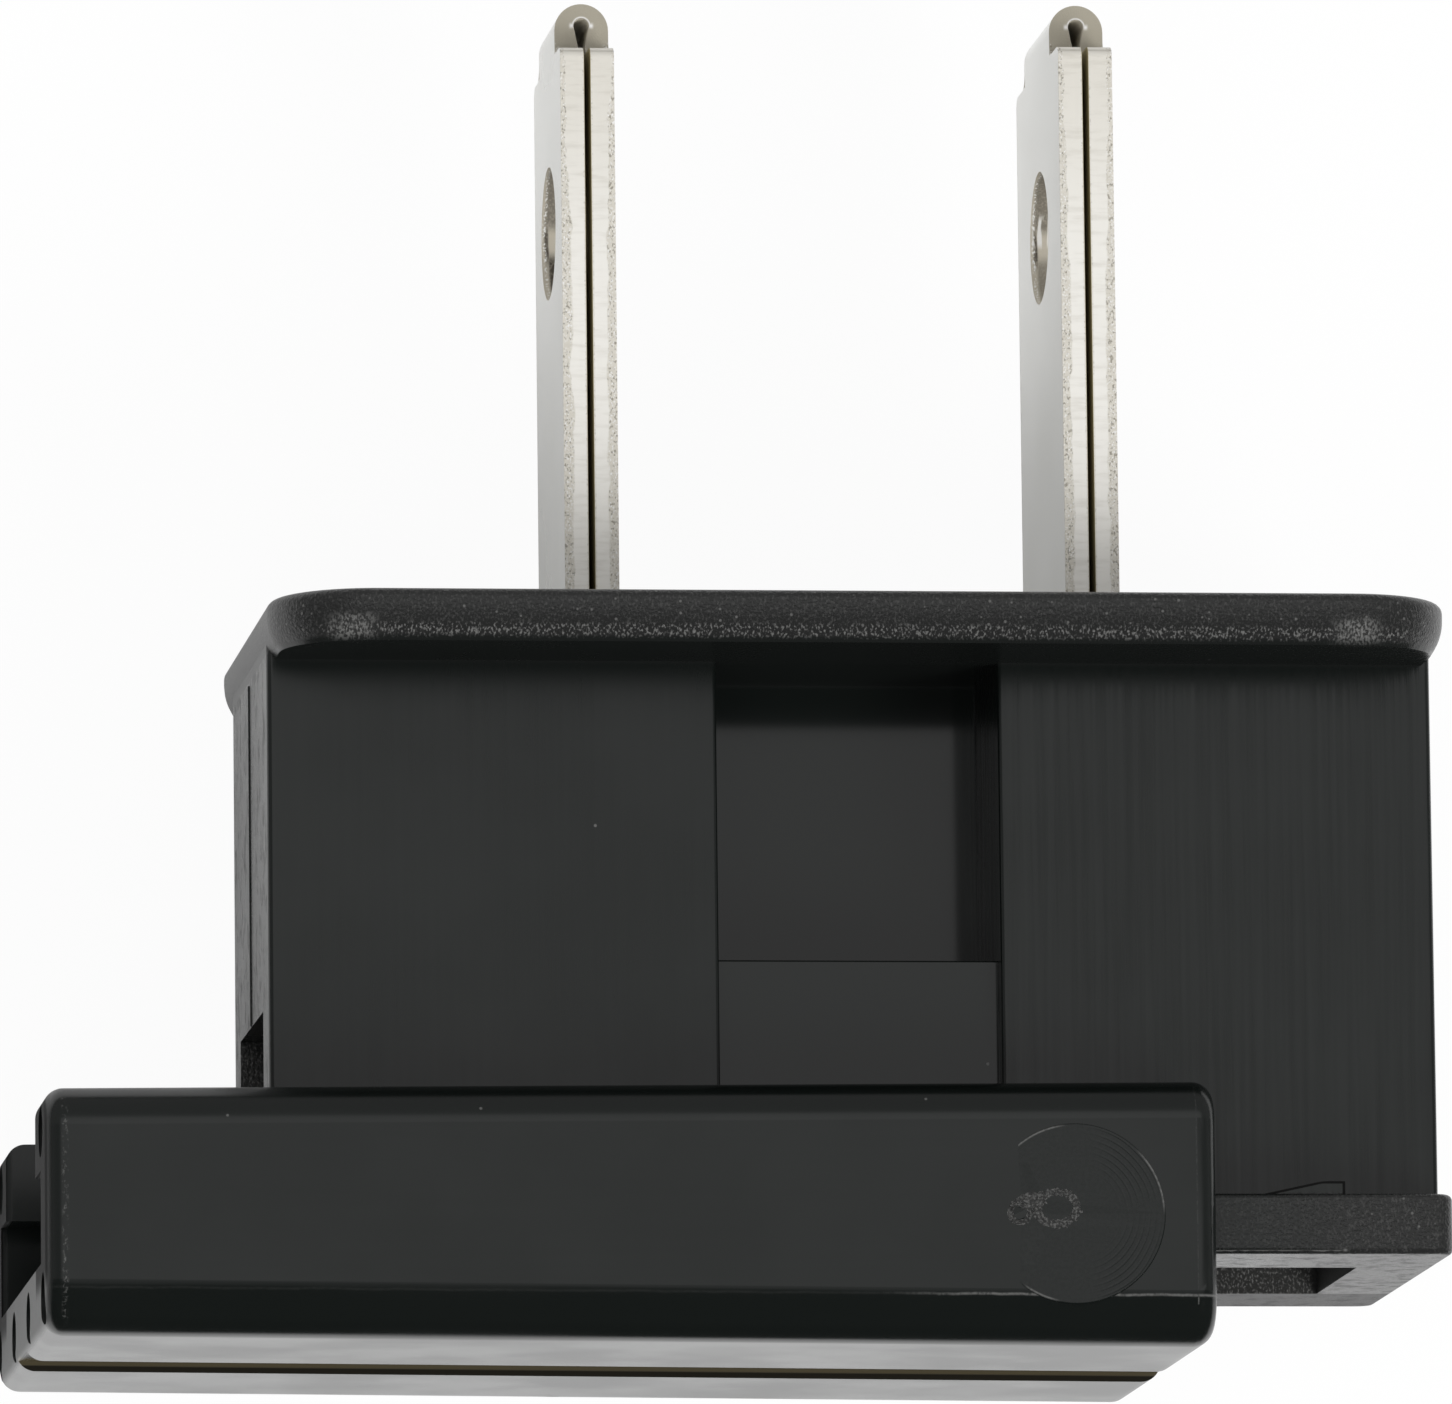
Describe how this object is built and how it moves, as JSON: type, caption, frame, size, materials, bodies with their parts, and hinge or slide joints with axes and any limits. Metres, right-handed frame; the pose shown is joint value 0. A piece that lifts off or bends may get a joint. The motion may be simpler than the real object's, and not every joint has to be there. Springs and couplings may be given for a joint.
{
  "type": "straight blade plug",
  "caption": "Polarised slide-on lamp cord plug: black body with a narrow and a wide folded blade, piercing teeth in a wire pocket, and a C-shaped cover that slides along a rail to close on the cord.",
  "frame": {"origin": "centre of the mating face, between the blades and at mid depth", "axes": "+X along the plug to the right, +Y along the blades out of the mating face, +Z to the front; the plug lies on its back, with -Z down"},
  "size_m": [0.0356, 0.035, 0.0176],
  "materials": {
    "body_plastic": "semi-gloss moulded black, grained on the flange and rail",
    "cover_plastic": "semi-gloss moulded black",
    "nickel_plate": "nickel-plated brass strip, bright, with sheared edges"
  },
  "bodies": {
    "housing": {"plug_body": "body_plastic", "left_blade": "nickel_plate", "right_blade": "nickel_plate"},
    "cover": {"slide_cover": "cover_plastic"}
  },
  "joints": [
    {"name": "cover_slide", "type": "slide", "parent": "housing", "child": "cover", "axis": [1, 0, 0], "range_m": [-0.0235, 0.006]}
  ]
}
